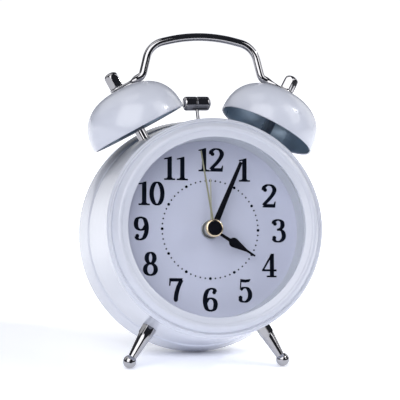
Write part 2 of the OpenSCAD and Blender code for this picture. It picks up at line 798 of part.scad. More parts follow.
module hour_wheel() color(BRASS) difference() {
    union() {
        bar(hour_out, hand_y(1) - boss_len, layer_y(1) + wheel_t);
        wheel(hour_z, hour_m, layer_y(1), hour_turn);
    }
    bar(hour_in, hand_y(2), layer_y(2));
}

module alarm_wheel() color(BRASS) difference() {
    union() {
        bar(alarm_out, hand_y(0) - boss_len, layer_y(0) + wheel_t);
        wheel(alarm_z, alarm_m, layer_y(0), 0);
    }
    bar(alarm_in, hand_y(1), layer_y(1));
}

module alarm_set_stem() color(BRASS) {
    bar(stem_r, arbor_y0, cover_y1 + clear + knob_len / 2, ALARM_SET);
    pinion(set_z, alarm_m, layer_y(0), set_turn, ALARM_SET);
}

// Hands

// Hand on its hub, pointing up before it is turned clockwise to its place
module hand(i, tube, degrees) difference() {
    union() {
        plate(hand_y(i), hand_y(i) + hand_t) rotate(-degrees) children();
        bar(hub_r, hand_y(i) - boss_len + 0.3, hand_y(i) + hand_t);
    }
    bar(tube + seat, hand_y(i) - boss_len - 1, hand_y(i) + hand_t + 1);
}

module alarm_hand() color(BRASS) hand(0, alarm_out, alarm_deg)
    polygon([
        [-alarm_half, 0], [-alarm_tip, alarm_len - 1], [0, alarm_len],
        [alarm_tip, alarm_len - 1], [alarm_half, 0]
    ]);

module hour_hand() color(BLACK) hand(1, hour_out, hour_deg) polygon(concat(
    [[-stalk_half, 0]],
    arc([0, leaf_at], leaf_r, leaf_root, leaf_side, 5),
    [[-stalk_half, neck_at], [-tip_half, hour_len], [tip_half, hour_len], [stalk_half, neck_at]],
    arc([0, leaf_at], leaf_r, 180 - leaf_side, 180 - leaf_root, 5),
    [[stalk_half, 0]]
));

module minute_hand() color(BLACK) hand(2, minute_out, minute_deg)
    polygon([
        [-minute_half, 0], [-minute_half / 2, minute_len], [minute_half / 2, minute_len], [minute_half, 0]
    ]);

module second_hand() color(BRASS) difference() {
    union() {
        plate(hand_y(3), hand_y(3) + hand_t) rotate(-second_deg)
            polygon([
                [-second_half, -second_tail], [-second_tip, second_len], [second_tip, second_len],
                [second_half, -second_tail]
            ]);
        bar(disc_r, hand_y(3) - boss_len, hand_y(3) - boss_len + disc_t);
    }
    bar(arbor_r + seat, hand_y(3) - boss_len - 1, hand_y(3) + hand_t + 1);
}

button_y1 = hand_y(3) - boss_len - seat;
module hub_button() color(BLACK) bar(button_r, button_y1 - button_t, button_y1);

// Movement

function corners(dx, dz) = [for (x = [-dx, dx], z = [-dz, dz]) [x, z]];
post_at = corners(plate_w / 2 - 2.6, plate_h / 2 - 2.6);

module movement_outline() translate([-plate_w / 2, -plate_h / 2]) square([plate_w, plate_h]);

// Bores of the wheels' pivots and stems, from y0 to y1
module pivot_bores(y0, y1) {
    for (at = [THIRD, IDLER, ROTOR]) bar(pivot_r + run, y0, y1, at);
    for (at = [MOTION, ALARM_SET]) bar(stem_r + run, y0, y1, at);
}

module movement_front() color(GREY) difference() {
    union() {
        plate(front_y0, front_y1) movement_outline();
        bar(bush_out, bush_y0, front_y1);
    }
    pivot_bores(front_y0 - 1, front_y1 + 1);
    bar(bush_in, bush_y0 - 1, front_y1 + 1);
}

module movement_back() color(GREY) difference() {
    union() {
        plate(back_y0, back_y1) movement_outline();
        for (at = post_at) bar(2.2 * plate_screw_r, front_y1 + seat, back_y0 + 0.5, at);
    }
    pivot_bores(back_y0 - 1, back_y1 + 1);
    bar(arbor_r + run, back_y0 - 1, back_y1 + 1);
    for (at = post_at) bar(plate_screw_r + seat, front_y1 - 1, back_y1 + 1, at);
    for (at = bracket_screw_at) bar(bracket_screw_r + seat, back_y0 - 1, back_y1 + 1, at);
}

module movement_screws() color(STEEL) for (at = post_at) {
    bar(plate_screw_r, front_y1 + 2, back_y1 + 1, at);
    bar(2 * plate_screw_r, back_y1 + seat, back_y1 + 1.3, at);
}

// Stator plate around the rotor, with the leg that carries the coil
stator_y0 = rotor_y0 + 0.6;
stator_y1 = stator_y0 + 0.8;
stator_w = 8.6;
coil_r = 1.9;
leg_w = 2;
coil_x = ROTOR[0] - 5;
coil_top = IDLER[1] - 9.6;
coil_len = 12;
coil_low = coil_top - coil_len;
coil_window = [3.4, coil_len + 0.8];
stator_low = coil_low - 3;
stator_top = ROTOR[1] + magnet_r + 4.9;
module stator() color(STEEL) {
    plate(stator_y0, stator_y1) difference() {
        translate([coil_x - leg_w / 2, stator_low]) square([stator_w, stator_top - stator_low]);
        translate(ROTOR) circle(r = magnet_r + 0.4);
        translate([coil_x + leg_w / 2, coil_low - 0.4]) square(coil_window);
    }
    for (z = [stator_low + 1.5, stator_top - 1.9])
        bar(0.9, stator_y1 - 0.2, back_y0 - seat, [coil_x + 4, z]);
}

module coil() color([0.6, 0.3, 0.15]) difference() {
    translate([coil_x, (stator_y0 + stator_y1) / 2, coil_low]) cylinder(r = coil_r, h = coil_len);
    plate(stator_y0 - seat, stator_y1 + seat) translate([coil_x - leg_w / 2 - seat, coil_low - 1])
        square([leg_w + 2 * seat, coil_len + 2]);
}

board_low = [-plate_w / 2 + 6, -plate_h / 2 + 2];
board_size = [15, 18];
board_t = 0.9;
module circuit_board() color([0.1, 0.35, 0.18]) plate(back_y0 - seat - board_t, back_y0 - seat)
    translate(board_low) square(board_size);

crystal_r = 1;
crystal_y = back_y0 - 2 * seat - board_t - crystal_r;
module quartz_crystal() color(CHROME) translate([board_low[0] + 4, crystal_y, board_low[1] + 3])
    cylinder(r = crystal_r, h = 6);

// Hammer and its drive

bracket_screw_at = [[-4.5, plate_h / 2 - 5], [10, plate_h / 2 - 5]];
module hammer_bracket() color(STEEL) difference() {
    union() {
        plate(bracket_y0, bracket_y1) translate([-bracket_left, plate_h / 2 - bracket_lap])
            square(bracket_size);
        bar(axle_r, crank_y0 - 0.5, bracket_y1, crank_at);
    }
    bar(pivot_pin_r + seat, bracket_y0 - 1, bracket_y1 + 1, [0, pivot_z]);
    bar(shaft_r + clear, bracket_y0 - 1, bracket_y1 + 1, motor_at);
    for (at = bracket_screw_at) bar(bracket_screw_r + seat, bracket_y0 - 1, bracket_y1 + 1, at);
}

module bracket_screws() color(STEEL) for (at = bracket_screw_at) {
    bar(bracket_screw_r, back_y0 + 0.2, bracket_y1 + 1, at);
    bar(2 * bracket_screw_r, bracket_y1 + seat, bracket_y1 + 1.2, at);
}

hub_y0 = mid_y - arm_t / 2 - 0.6;
hub_y1 = bracket_y0 - clear;
module hammer_pivot() color(STEEL) {
    bar(pivot_pin_r, hub_y0 - 1, bracket_y1, [0, pivot_z]);
    bar(1.9, hub_y0 - clear - 0.8, hub_y0 - clear, [0, pivot_z]);
}

// Swings a piece about the hammer's pivot to the left bell, where it rests
module at_hammer() translate([0, mid_y, pivot_z]) rotate([0, -tilt, 0]) children();

module hammer_arm() color(STEEL) difference() {
    union() {
        bar(hammer_hub_r, hub_y0, hub_y1, [0, pivot_z]);
        at_hammer() block([-arm_w / 2, -arm_t / 2, 0], [arm_w / 2, arm_t / 2, rod_foot - 1]);
        at_hammer() translate([0, 0, rod_foot - rod_socket - 1])
            cylinder(r = hammer_rod_r + 0.9, h = rod_socket + 1);
    }
    bar(pivot_pin_r + run, hub_y0 - 1, hub_y1 + 1, [0, pivot_z]);
    at_hammer() translate([0, 0, rod_foot - rod_socket]) cylinder(r = hammer_rod_r + seat, h = 10);
    at_hammer() block([-arm_slot / 2, -arm_t, drive_reach - 2.5], [arm_slot / 2, arm_t, drive_reach + 2]);
}

rod_end = head_reach + head_r * 0.6;
module hammer_rod() color(CHROME) at_hammer() translate([0, 0, rod_foot - rod_socket + seat])
    cylinder(r = hammer_rod_r, h = rod_end - rod_foot + rod_socket - seat);

// Half of the head's profile, as points of (radius, distance from its groove)
head_profile = [
    [head_r - 0.25, 0.2], [head_r, 0.35], [head_r, head_len / 2 - 1.8],
    [head_r * 0.82, head_len / 2 - 0.7], [head_r * 0.5, head_len / 2], [0, head_len / 2]
];
module hammer_head() color(CHROME) at_hammer() difference() {
    translate([0, 0, head_reach]) rotate([0, 90, 0]) rotate_extrude() polygon(concat(
        [for (i = [len(head_profile) - 1:-1:0]) [head_profile[i][0], -head_profile[i][1]]],
        head_profile
    ));
    translate([0, 0, head_reach - head_r - 1])
        cylinder(r = hammer_rod_r + seat, h = rod_end - head_reach + head_r + 1 + seat);
}

module crank_wheel() color(WHITE) difference() {
    union() {
        rp = crank_m * crank_z / 2;
        plate(crank_y0, crank_y1) translate(crank_at) rotate(180)
            polygon(gear_outline(crank_z, [rp - wheel_ded * crank_m, rp + wheel_add * crank_m], rp));
        bar(crank_pin_r, mid_y + arm_t / 2 + clear, crank_y0 + 0.5, crank_at - [throw + 0.6, 0]);
    }
    bar(axle_r + run, crank_y0 - 1, crank_y1 + 1, crank_at);
}

module alarm_motor() color(STEEL) difference() {
    union() {
        bar(motor_r, motor_y0, motor_y0 + motor_len, motor_at);
        bar(2, motor_y0 + motor_len - 0.5, motor_y0 + motor_len + 1, motor_at);
    }
    bar(shaft_r + run, motor_y0 - 1, motor_y0 + 6, motor_at);
}

module motor_pinion() color(BRASS) {
    bar(shaft_r, crank_y0, motor_y0 + 5.5, motor_at);
    pinion(pinion_z, crank_m, crank_y0 - 0.2, motor_turn, motor_at, crank_y1 - crank_y0 + 0.4);
}

// Setting knobs

module knob(r, at) color(BLACK) difference() {
    union() {
        bar(r - 0.4, cover_y1 + clear, cover_y1 + clear + knob_len, at);
        for (a = [0:30:330])
            bar(0.9, cover_y1 + clear, cover_y1 + clear + knob_len, at + (r - 0.9) * [cos(a), sin(a)]);
    }
    bar(stem_r + seat, cover_y1, cover_y1 + clear + knob_len / 2 + seat, at);
}
module time_knob() knob(time_knob_r, MOTION);
module alarm_knob() knob(alarm_knob_r, ALARM_SET);

stand() front_bezel();
stand() lens();
stand() well_ring();
stand() dial_plate();
stand() dial_nut();
stand() body_shell();
stand() cover_pillars();
stand() rear_cover();
stand() cover_screws();
stand() battery_door();
stand() battery_cell();
stand() battery_contact_plus();
stand() battery_contact_minus();
stand() alarm_switch();
stand() bell_left();
stand() bell_right();
stand() bell_post_left();
stand() bell_post_right();
stand() post_nuts();
stand() handle();
stand() cap_nut_left();
stand() cap_nut_right();
stand() foot_left();
stand() foot_right();
stand() foot_nuts();
stand() movement_front();
stand() movement_back();
stand() movement_screws();
stand() stator();
stand() coil();
stand() circuit_board();
stand() quartz_crystal();
stand() rotor();
stand() idler_wheel();
stand() second_wheel();
stand() third_wheel();
stand() centre_wheel();
stand() motion_wheel();
stand() hour_wheel();
stand() alarm_wheel();
stand() alarm_set_stem();
stand() second_hand();
stand() hub_button();
stand() minute_hand();
stand() hour_hand();
stand() alarm_hand();
stand() time_knob();
stand() alarm_knob();
stand() hammer_bracket();
stand() bracket_screws();
stand() hammer_pivot();
stand() hammer_arm();
stand() hammer_rod();
stand() hammer_head();
stand() crank_wheel();
stand() alarm_motor();
stand() motor_pinion();
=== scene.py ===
# The clock as it stands: its drum leans back on two feet and on the lower rear edge of its case.
# Every piece is drawn in the drum's own frame, in millimetres: X right, Y from the glass to the back
# along the hands' arbor, Z up, with y = 0 at the front ridge of the bezel.
import json
from math import acos, atan2, cos, degrees, hypot, pi, radians, sin, tan

import bmesh
import bpy
from mathutils import Matrix, Vector


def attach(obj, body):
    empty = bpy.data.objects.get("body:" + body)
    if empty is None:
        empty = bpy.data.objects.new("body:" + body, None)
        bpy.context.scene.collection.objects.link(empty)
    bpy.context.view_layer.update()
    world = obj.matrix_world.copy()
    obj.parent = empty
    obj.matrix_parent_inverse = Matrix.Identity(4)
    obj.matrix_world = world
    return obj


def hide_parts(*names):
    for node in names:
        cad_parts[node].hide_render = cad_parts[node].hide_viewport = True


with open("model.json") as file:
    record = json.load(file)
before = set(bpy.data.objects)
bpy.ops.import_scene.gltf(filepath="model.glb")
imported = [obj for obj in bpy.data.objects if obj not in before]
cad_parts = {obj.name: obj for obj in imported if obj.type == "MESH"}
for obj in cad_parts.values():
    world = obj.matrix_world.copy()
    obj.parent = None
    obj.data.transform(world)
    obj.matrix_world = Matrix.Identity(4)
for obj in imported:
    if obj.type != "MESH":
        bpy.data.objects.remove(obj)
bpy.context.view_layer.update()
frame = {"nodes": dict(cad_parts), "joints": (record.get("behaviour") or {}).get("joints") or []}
nodes = frame["nodes"]
joints = {joint["name"]: joint for joint in frame["joints"]}
arbor = Vector(joints["second_turn"]["axis"])
arbor_point = Vector(joints["second_turn"]["pos_m"])
lean = atan2(-arbor.z, arbor.y)
ridge = min(vertex.co.dot(arbor) for vertex in nodes["front_bezel"].data.vertices)
MM = 0.001
CLOCK = (
    Matrix.Translation(arbor_point + arbor * (ridge - arbor_point.dot(arbor)))
    @ Matrix.Rotation(-lean, 4, "X")
    @ Matrix.Scale(MM, 4)
)


def reach(node):
    """Lowest and highest corner of a CAD node in the clock's frame."""
    inverse = CLOCK.inverted()
    places = [inverse @ vertex.co for vertex in nodes[node].data.vertices]
    return [Vector(end(place[k] for place in places) for k in range(3)) for end in (min, max)]


# Drum: the case's round wall, spun from sheet steel, swelling to a ring and then a flared rear edge.
# It is sprayed in white gloss enamel, whose skin is faintly uneven, and the hammer's rod comes out
# of it through a slot at the top.
class Wire:
    """A socket in a material's node tree. Arithmetic on it adds Math nodes to that tree."""

    def __init__(self, tree, socket=None):
        self.tree = tree
        self.socket = socket

    def node(self, kind, settings, inputs, output=0):
        """A node of a kind: its settings are set first, then the values or links of its sockets."""
        made = self.tree.nodes.new(kind)
        for key, value in settings.items():
            if key == "stops":
                for stop, (place, colour) in zip(made.color_ramp.elements, value):
                    stop.position = place
                    stop.color = (*colour, 1)
            else:
                setattr(made, key, value)
        for key, value in inputs.items():
            if isinstance(value, Wire):
                self.tree.links.new(value.socket, made.inputs[key])
            else:
                made.inputs[key].default_value = value
        return Wire(self.tree, made.outputs[output])

    def maths(self, operation, first, second):
        """A Math node of an operation on two wires or numbers."""
        return self.node("ShaderNodeMath", {"operation": operation}, {0: first, 1: second})

    def __add__(self, other):
        return self.maths("ADD", self, other)

    def __mul__(self, other):
        return self.maths("MULTIPLY", self, other)

    def __radd__(self, other):
        return self.maths("ADD", other, self)

    def __rmul__(self, other):
        return self.maths("MULTIPLY", other, self)

    def grain(self, size):
        """Noise from 0 to 1, whose features are about size millimetres across."""
        place = self.node("ShaderNodeTexCoord", {}, {}, "Object")
        return self.node("ShaderNodeTexNoise", {}, {"Vector": place, "Scale": 1 / (size * MM), "Detail": 3.0})

    def between(self, mask, dark, light):
        """Colour between two, by a mask. Each is a triple or another wire."""
        ends = [end if isinstance(end, Wire) else (*end, 1) for end in (dark, light)]
        inputs = {"Factor": mask, "A": ends[0], "B": ends[1]}
        return self.node("ShaderNodeMix", {"data_type": "RGBA"}, inputs, "Result")


def material(name, dark, light, size, rough, bump, **fixed):
    """Finish whose colour, roughness and height vary a little over patches of a size in millimetres.
    rough is the lowest and highest roughness, bump the height of its skin in millimetres, and fixed
    holds values for the shader's own sockets."""
    made = bpy.data.materials.new(name)
    made.use_nodes = True
    shader = made.node_tree.nodes["Principled BSDF"]
    wire = Wire(made.node_tree)
    patches = wire.grain(size)
    made.node_tree.links.new(wire.between(patches, dark, light).socket, shader.inputs["Base Color"])
    spread = rough[0] + (rough[1] - rough[0]) * patches
    made.node_tree.links.new(spread.socket, shader.inputs["Roughness"])
    fine = wire.grain(size / 8)
    skin = wire.node("ShaderNodeBump", {}, {"Strength": 1.0, "Distance": bump * MM, "Height": fine})
    made.node_tree.links.new(skin.socket, shader.inputs["Normal"])
    for socket, value in fixed.items():
        shader.inputs[socket.replace("_", " ")].default_value = value
    return made


SAME_SPOT = 0.001 * MM


def piece(name, points, faces, finish, body, slot, *replaced, place=CLOCK, crease=35, bevel=0):
    """Mesh of points in a frame, smooth except at creases of that many degrees, that rides on a body
    and stands for CAD nodes. bevel rounds its creases by that many millimetres."""
    mesh = bpy.data.meshes.new(name)
    mesh.from_pydata([place @ Vector(point) for point in points], [], faces)
    edit = bmesh.new()
    edit.from_mesh(mesh)
    bmesh.ops.remove_doubles(edit, verts=edit.verts, dist=SAME_SPOT)
    bmesh.ops.recalc_face_normals(edit, faces=edit.faces)
    edit.to_mesh(mesh)
    edit.free()
    mesh.polygons.foreach_set("use_smooth", [True] * len(mesh.polygons))
    mesh.set_sharp_from_angle(angle=radians(crease))
    made = bpy.data.objects.new(name, mesh)
    bpy.context.collection.objects.link(made)
    mesh.materials.append(finish)
    if bevel:
        rounded(made, bevel)
    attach(made, body)
    if replaced:
        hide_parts(*replaced)
    return made


def rounded(made, width):
    """Rounds the edges of a piece that turn by more than 40 degrees, by a width in millimetres."""
    weld = made.modifiers.new("weld", "WELD")
    weld.merge_threshold = SAME_SPOT
    edge = made.modifiers.new("edge", "BEVEL")
    edge.width = width * MM
    edge.segments = 2
    edge.limit_method = "ANGLE"
    edge.angle_limit = radians(40)
    edge.harden_normals = True


def arc(middle, radius, start, end, steps=8):
    """Points on an arc, from one angle to another in degrees."""
    turns = [radians(start + (end - start) * i / steps) for i in range(steps + 1)]
    return [(middle[0] + radius * cos(turn), middle[1] + radius * sin(turn)) for turn in turns]


def turned(profile, steps, shape=None):
    """Points and faces of a closed profile of (radius, y), turned about Y. shape(radius, turn) gives
    the radius at a turn, where it isn't round."""
    points = []
    for i in range(steps):
        turn = 2 * pi * i / steps
        for radius, y in profile:
            reach_out = shape(radius, turn) if shape else radius
            points.append((reach_out * cos(turn), y, reach_out * sin(turn)))
    n = len(profile)
    faces = [
        (i * n + k, i * n + (k + 1) % n, (i + 1) % steps * n + (k + 1) % n, (i + 1) % steps * n + k)
        for i in range(steps)
        for k in range(n)
    ]
    return points, faces


SHEET = 1.0
skirt_r, ring_r, rim_r, rim_round = 53.2, 55.6, 58.6, 2.0
seam_y, neck_y, ring_y, rim_y = 10.05, 20.2, 44.0, 61.0
seam_round, neck_in, neck_swell = 0.3, 2.1, 0.5
ring_lead, ring_swell, ring_wide, ring_steps = 1.4, 0.75, 3.2, 8
inner_ring_swell, inner_ring_start, inner_ring_end = 0.7, 0.4, 1.6
rim_lip, rim_lip_deep, rim_lip_root = 3.4, 2.2, 3.0
mid_y = (reach("handle")[0].y + reach("handle")[1].y) / 2
slot_half, slot_half_steps, drum_steps = 1.7, 2, 160
slot_ends = [mid_y - slot_half, mid_y + slot_half]


def drum_radius(y):
    """Radius of the drum's outside at a depth y, from its seam to its ring."""
    return skirt_r + (ring_r - skirt_r) * (y - seam_y) / (ring_y - seam_y)


outside = [(skirt_r - seam_round, seam_y), (skirt_r, seam_y + seam_round)]
outside += [(drum_radius(y), y) for y in slot_ends]
for i in range(ring_steps + 1):
    t = i / ring_steps
    outside.append((ring_r + ring_swell * t * t * (3 - 2 * t), ring_y - ring_lead + ring_wide * t))
outside += arc((rim_r - rim_round, rim_y - rim_round), rim_round, 0, 90, 10)
inside = [(rim_r - rim_lip, rim_y), (rim_r - rim_lip, rim_y - rim_lip_deep)]
inside += [(rim_r - SHEET, rim_y - rim_lip_root)]
inside += [(ring_r - SHEET + inner_ring_swell, ring_y + inner_ring_end)]
inside += [(ring_r - SHEET, ring_y + inner_ring_start)]
inside += [(drum_radius(y) - SHEET, y) for y in slot_ends[::-1]]
inside += [(skirt_r - SHEET + neck_swell, neck_y), (skirt_r - neck_in, seam_y)]
drum_profile = outside + inside
drum_points, drum_faces = turned(drum_profile, drum_steps)
# Two spans of the profile run across the slot, and are left open for the slot's steps at the top.
slot_spans = (2, len(drum_profile) - 4)
slot_steps = range(drum_steps // 4 - slot_half_steps, drum_steps // 4 + slot_half_steps)
slot_faces = {step * len(drum_profile) + span for step in slot_steps for span in slot_spans}
drum_faces = [face for i, face in enumerate(drum_faces) if i not in slot_faces]

enamel = material(
    "white_enamel", (0.56, 0.585, 0.68), (0.585, 0.61, 0.7), 9, (0.2, 0.28), 0.01,
    Coat_Weight=0.35, Coat_Roughness=0.08,
)
drum = piece("drum", drum_points, drum_faces, enamel, "case", "white_enamel", "body_shell", crease=25)
slot_edit = bmesh.new()
slot_edit.from_mesh(drum.data)
bmesh.ops.bridge_loops(slot_edit, edges=[edge for edge in slot_edit.edges if edge.is_boundary])
slot_edit.to_mesh(drum.data)
slot_edit.free()


# Bezel: the front ring, spun from sheet steel and pressed over the drum's neck. Its lip holds the
# glass, a rounded ridge stands around the window and a step leads down to the skirt.
# It is sprayed with the same enamel as the drum.
window_r, ridge_r, shoulder_r = 43.4, 47.7, 51.4
window_round, ridge_round, shoulder_round, skirt_round = 0.7, 1.6, 1.2, 2.0
window_y, lip_y, shoulder_y, skirt_y, bezel_y = 2.0, 3.0, 5.0, 6.8, 10.0
collar_r, collar_t, collar_end = 46.4, 0.95, 18.8
bezel_edge, shoulder_in, step_back = 0.2, 0.6, 0.4
bezel_front = arc((window_r + window_round, window_y), window_round, 180, 250, 5)
bezel_front += arc((ridge_r, ridge_round), ridge_round, 215, 305, 10)
bezel_front += arc((shoulder_r, shoulder_y), shoulder_round, 235, 290, 6)
bezel_front += arc((skirt_r - skirt_round, skirt_y), skirt_round, 300, 360, 8)
bezel_back = [(skirt_r, bezel_y - bezel_edge), (skirt_r - bezel_edge, bezel_y), (skirt_r - SHEET, bezel_y)]
bezel_back += [(skirt_r - SHEET, skirt_y), (shoulder_r - shoulder_in, shoulder_y + step_back)]
bezel_back += [(collar_r, lip_y + step_back), (collar_r, collar_end)]
bezel_back += [(collar_r - collar_t, collar_end), (collar_r - collar_t, lip_y), (window_r, lip_y)]
piece("bezel", *turned(bezel_front + bezel_back, 240), enamel, "case", "white_enamel", "front_bezel")


# Glass: a flat disc of float glass held by the bezel's lip, with the white well ring behind it that
# keeps it off the dial. The glass shows only its reflections, stronger at a slant.
glass = bpy.data.materials.new("clear_glass")
glass.use_nodes = True
glass_wire = Wire(glass.node_tree)
straight_glare, glare_strength = 0.034, 0.6
slant = glass_wire.node("ShaderNodeLayerWeight", {}, {"Blend": 0.5}, "Facing")
glare = straight_glare + (1 - straight_glare) * glass_wire.maths("POWER", slant, 5)
clean = glass_wire.node("ShaderNodeBsdfTransparent", {}, {"Color": (0.97, 0.985, 1, 1)})
shine = glass_wire.node("ShaderNodeBsdfAnisotropic", {}, {"Roughness": 0.03, "Color": (1, 1, 1, 1)})
pane = glass_wire.node("ShaderNodeMixShader", {}, {0: glare * glare_strength, 1: clean, 2: shine})
glass.node_tree.links.new(pane.socket, glass.node_tree.nodes["Material Output"].inputs["Surface"])


def dress(finish, *names, bevel=0):
    """Gives CAD nodes a finish, and rounds their edges by a bevel in millimetres."""
    for name in names:
        made = nodes[name]
        made.data.materials.clear()
        made.data.materials.append(finish)
        if bevel:
            rounded(made, bevel)
            flat = made.modifiers.new("flat", "WEIGHTED_NORMAL")
            flat.keep_sharp = True


dress(glass, "lens")
white_plastic = material("white_plastic", (0.61, 0.62, 0.65), (0.64, 0.65, 0.68), 6, (0.34, 0.42), 0.015)
dress(white_plastic, "well_ring")


# Dial: a thin metal sheet with a satin white coat. The figures and the ring of minute dots are
# printed on it in black, and a plain round nut holds it to the movement's bush.
print_t = 0.03
print_y = reach("dial_plate")[0].y - print_t
dial_turn = radians(0.95)
dial_coat = material("dial_white", (0.58, 0.577, 0.69), (0.605, 0.602, 0.71), 14, (0.42, 0.5), 0.004)
ink = material(
    "black_ink", (0.002, 0.003, 0.008), (0.004, 0.006, 0.013), 3, (0.5, 0.6), 0.002,
    Specular_IOR_Level=0.02,
)
dress(dial_coat, "dial_plate")
steel = material("steel", (0.42, 0.43, 0.46), (0.56, 0.57, 0.6), 2.5, (0.22, 0.4), 0.004, Metallic=1.0)
dress(steel, "dial_nut", bevel=0.3)

stroke_thick, stroke_thin, stroke_swell = 1.1, 0.42, 1.6


def flowing(knots, closed=False, steps=7):
    """Points of a smooth curve through knots."""
    n = len(knots)
    spans = n if closed else n - 1
    points = []
    for i in range(spans):
        four = [knots[k % n] if closed else knots[min(max(k, 0), n - 1)] for k in range(i - 1, i + 3)]
        before, start, end, after = [Vector(knot) for knot in four]
        for k in range(steps):
            t = k / steps
            points.append(
                start
                + t / 2 * (end - before)
                + t * t / 2 * (2 * before - 5 * start + 4 * end - after)
                + t**3 / 2 * (3 * start - before - 3 * end + after)
            )
    return points if closed else points + [Vector(knots[-1])]


def ribbon(knots, closed=False):
    """Pen stroke through knots, broad where it runs up or down and fine where it runs across."""
    path = flowing(knots, closed)
    n = len(path)
    sides = []
    for i, point in enumerate(path):
        ahead = path[(i + 1) % n] if closed else path[min(i + 1, n - 1)]
        behind = path[i - 1] if closed else path[max(i - 1, 0)]
        run = (ahead - behind).normalized()
        half = stroke_thin + (stroke_thick - stroke_thin) * abs(run.y) ** stroke_swell
        side = Vector((-run.y, run.x)) * half
        sides.append((point + side, point - side))
    last = n if closed else n - 1
    return [(sides[i][0], sides[(i + 1) % n][0], sides[(i + 1) % n][1], sides[i][1]) for i in range(last)]


def ball(x, y, radius=1.0):
    """Round end of a stroke."""
    return [arc((x, y), radius, 0, 360, 20)[:-1]]


def loop(x, y, wide, high):
    """Closed stroke round an oval, of half its width and half its height."""
    turns = [2 * pi * i / 12 for i in range(12)]
    return ribbon([(x + wide * cos(turn), y + high * sin(turn)) for turn in turns], True)


def turned_over(shapes):
    """Shapes turned half round, as a nine is a six."""
    return [[(-x, -y) for x, y in shape] for shape in shapes]


six = ribbon(
    [(2.4, 3.7), (1.8, 5.0), (0.4, 5.4), (-1.4, 4.4), (-2.5, 1.7), (-2.6, -1.6), (-1.7, -4.4), (0.1, -5.4)]
)
six += ribbon([(0.1, -5.4), (1.9, -4.6), (2.6, -2.4), (2.1, -0.3), (0.5, 0.7), (-1.2, 0.2), (-2.4, -1.4)])
six += ball(1.9, 3.6, 0.95)
two = ribbon(
    [(-2.8, 2.7), (-2.5, 4.3), (-0.8, 5.35), (1.4, 5.0), (2.6, 3.2), (1.9, 1.0)]
    + [(0, -1.5), (-2, -3.6), (-2.9, -4.8)]
)
two += ball(-2.1, 2.9)
two += [[(-3.4, -5.75), (3, -5.75), (3.3, -2.7), (2.75, -2.7), (2.2, -4), (-1.5, -4), (-3.4, -5.2)]]
three = ribbon([(-2.3, 3.3), (-2, 4.6), (-0.2, 5.35), (1.6, 4.6), (2.1, 2.9), (1.3, 1.2), (-0.7, 0.45)])
three += ribbon([(-0.7, 0.4), (1.5, 0.2), (2.6, -1.4), (2.5, -3.6), (0.9, -5.2), (-1.3, -5.2), (-2.7, -3.7)])
three += ball(-1.75, 3.4, 0.95) + ball(-2.1, -3.5)
five = ribbon(
    [(-2, 0.4), (-0.6, 1.4), (1.3, 1.2), (2.6, -0.8), (2.5, -3.4), (0.9, -5.2), (-1.2, -5.25), (-2.6, -3.9)]
)
five += ball(-2.05, -3.4) + [[(-2.2, 5.7), (-1.5, 5.5), (-1.8, 0.7), (-2.4, 0.3)]]
five += [[(-2.2, 5.7), (0.5, 5.45), (3.1, 5.8), (2.3, 4.3), (0.3, 4), (-1.7, 4.2)]]
seven = ribbon([(2.9, 5), (1.6, 2.4), (0.6, -0.6), (0.1, -3.2), (0, -4.8)]) + ball(0, -4.75)
seven += [[(-3.2, 5.75), (3.3, 5.75), (3.3, 5.2), (2.5, 4.1), (-2.4, 4.1), (-2.75, 2), (-3.4, 2)]]
one = [[(-1.1, -5.6), (1.1, -5.6), (1.1, 5.75), (0.4, 5.75), (-1.1, 5.2)]]
one += [[(-1.1, 5.25), (-1.1, 4.4), (-2.8, 4.2), (-2.8, 4.85)]]
one_foot = [(-2.8, -5.8), (2.8, -5.8), (2.8, -5), (1.6, -4.95), (1.1, -4.4)]
one += [one_foot + [(-1.1, -4.4), (-1.6, -4.95), (-2.8, -5)]]
four = [[(0.8, 5.75), (1.9, 5.75), (-2.5, -2), (-3.7, -2.2)]]
four += [[(-3.8, -2.9), (3.6, -2.9), (3.6, -1.9), (-3.8, -1.9)]]
four += [[(0.2, -5.4), (2.3, -5.4), (2.3, 5.75), (0.8, 5.75), (0.2, 4.8)]]
four += [[(-1.4, -5.8), (3.6, -5.8), (3.6, -5), (-1.4, -5)]]
FIGURES = {
    "0": loop(0, 0, 2.65, 5.4), "1": one, "2": two, "3": three, "4": four, "5": five, "6": six, "7": seven,
    "8": loop(0.05, 2.85, 1.9, 2.55) + loop(0, -2.65, 2.6, 2.75), "9": turned_over(six),
}
figure_ring, pair_gap = 34.2, 6.3
print_points, print_faces = [], []


def printed(shapes, x, z):
    """Adds flat shapes to the dial's print, with their middle at (x, z) as seen from the front."""
    for shape in shapes:
        first = len(print_points)
        for across, up in shape:
            right, high = x + across, z + up
            turned_right = right * cos(dial_turn) + high * sin(dial_turn)
            turned_high = high * cos(dial_turn) - right * sin(dial_turn)
            print_points.append((turned_right, print_y, turned_high))
        print_faces.append(range(first, len(print_points)))


for hour in range(1, 13):
    turn = radians(30 * hour)
    for i, digit in enumerate(str(hour)):
        shift = (i - (len(str(hour)) - 1) / 2) * pair_gap
        printed(FIGURES[digit], figure_ring * sin(turn) + shift, figure_ring * cos(turn))
dot_ring, hour_dot_r, minute_dot_r = 23.9, 0.72, 0.42
for minute in range(60):
    turn = radians(6 * minute)
    dot = arc((0, 0), minute_dot_r if minute % 5 else hour_dot_r, 0, 360, 14)[:-1]
    printed([dot], dot_ring * sin(turn), dot_ring * cos(turn))
piece("dial_print", print_points, print_faces, ink, "case", "black_paint")


